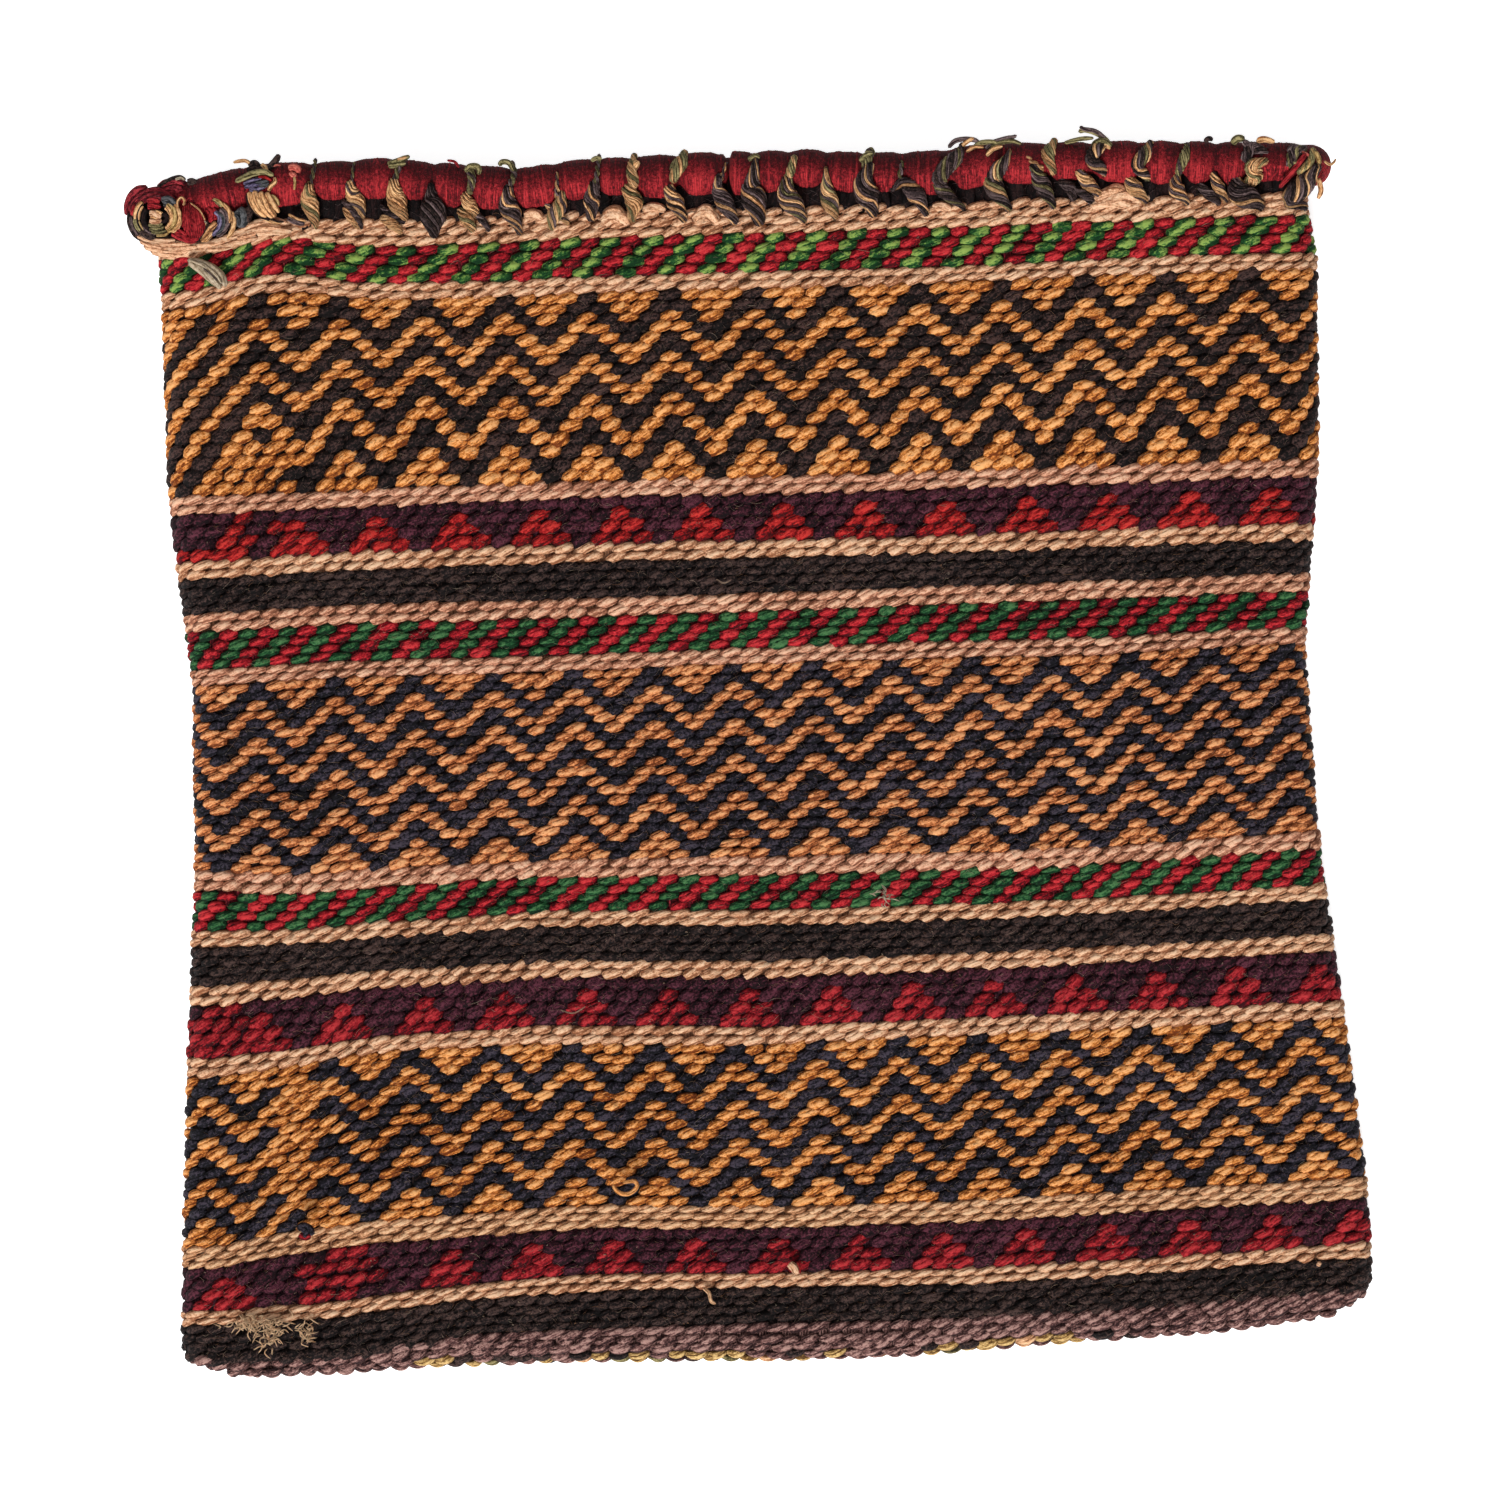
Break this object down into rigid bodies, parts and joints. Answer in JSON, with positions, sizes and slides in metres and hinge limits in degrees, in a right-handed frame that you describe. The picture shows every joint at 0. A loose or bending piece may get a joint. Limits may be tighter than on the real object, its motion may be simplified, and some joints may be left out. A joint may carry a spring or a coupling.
{
  "type": "yarn bag",
  "caption": "Flat twined wool bag with banded zigzag, stripe and triangle patterns, open at the top, with a rolled and whipped rim.",
  "frame": {"origin": "underside of the back wall, on the bag's centre line and halfway up its bands; the bag lies on its back", "axes": "+X to the viewer's right across the front, +Y from the bottom fold to the mouth, +Z out of the front, up from the surface the back lies on"},
  "size_m": [0.417, 0.4234, 0.033],
  "materials": {
    "cream_yarn": "dull undyed wool",
    "red_green_yarn": "dull wool, crimson and green",
    "amber_dark_yarn": "dull wool, amber with black and navy",
    "purple_red_yarn": "dull wool, purple and scarlet",
    "black_yarn": "dull wool",
    "tan_yarn": "dull wool",
    "undyed_yarn": "dull wool",
    "crimson_yarn": "fine wool, slight sheen",
    "marled_yarn": "plied wool of several colours",
    "fold_yarn": "dull wool, the bands' colours",
    "mauve_yarn": "dull wool"
  },
  "bodies": {
    "bag_back": {"back_cream_1": "cream_yarn", "back_redgreen_1": "red_green_yarn", "back_cream_2": "cream_yarn", "back_zigzag_1": "amber_dark_yarn", "back_cream_3": "cream_yarn", "back_triangles_1": "purple_red_yarn", "back_cream_4": "cream_yarn", "back_black_1": "black_yarn", "back_cream_5": "cream_yarn", "back_redgreen_2": "red_green_yarn", "back_cream_6": "cream_yarn", "back_zigzag_2": "amber_dark_yarn", "back_cream_7": "cream_yarn", "back_redgreen_3": "red_green_yarn", "back_cream_8": "cream_yarn", "back_black_2": "black_yarn", "back_cream_9": "cream_yarn", "back_triangles_2": "purple_red_yarn", "back_cream_10": "cream_yarn", "back_zigzag_3": "amber_dark_yarn", "back_tan_11": "tan_yarn", "back_triangles_3": "purple_red_yarn", "back_cream_12": "cream_yarn", "back_black_3": "black_yarn", "back_warps": "undyed_yarn", "back_rim_core": "undyed_yarn", "back_rim_wrap": "crimson_yarn", "back_whip_stitches": "marled_yarn", "left_side_fold": "fold_yarn", "right_side_fold": "fold_yarn", "bottom_fold": "mauve_yarn", "rim_end_knob": "marled_yarn"},
    "bag_front": {"front_cream_1": "cream_yarn", "front_redgreen_1": "red_green_yarn", "front_cream_2": "cream_yarn", "front_zigzag_1": "amber_dark_yarn", "front_cream_3": "cream_yarn", "front_triangles_1": "purple_red_yarn", "front_cream_4": "cream_yarn", "front_black_1": "black_yarn", "front_cream_5": "cream_yarn", "front_redgreen_2": "red_green_yarn", "front_cream_6": "cream_yarn", "front_zigzag_2": "amber_dark_yarn", "front_cream_7": "cream_yarn", "front_redgreen_3": "red_green_yarn", "front_cream_8": "cream_yarn", "front_black_2": "black_yarn", "front_cream_9": "cream_yarn", "front_triangles_2": "purple_red_yarn", "front_cream_10": "cream_yarn", "front_zigzag_3": "amber_dark_yarn", "front_tan_11": "tan_yarn", "front_triangles_3": "purple_red_yarn", "front_cream_12": "cream_yarn", "front_black_3": "black_yarn", "front_warps": "undyed_yarn", "front_rim_core": "undyed_yarn", "front_rim_wrap": "crimson_yarn", "front_whip_stitches": "marled_yarn"}
  },
  "joints": [
    {"name": "mouth_opening", "type": "hinge", "parent": "bag_back", "child": "bag_front", "pos_m": [0, -0.1935, 0.0155], "axis": [1, 0, 0], "range_deg": [0, 10]}
  ]
}
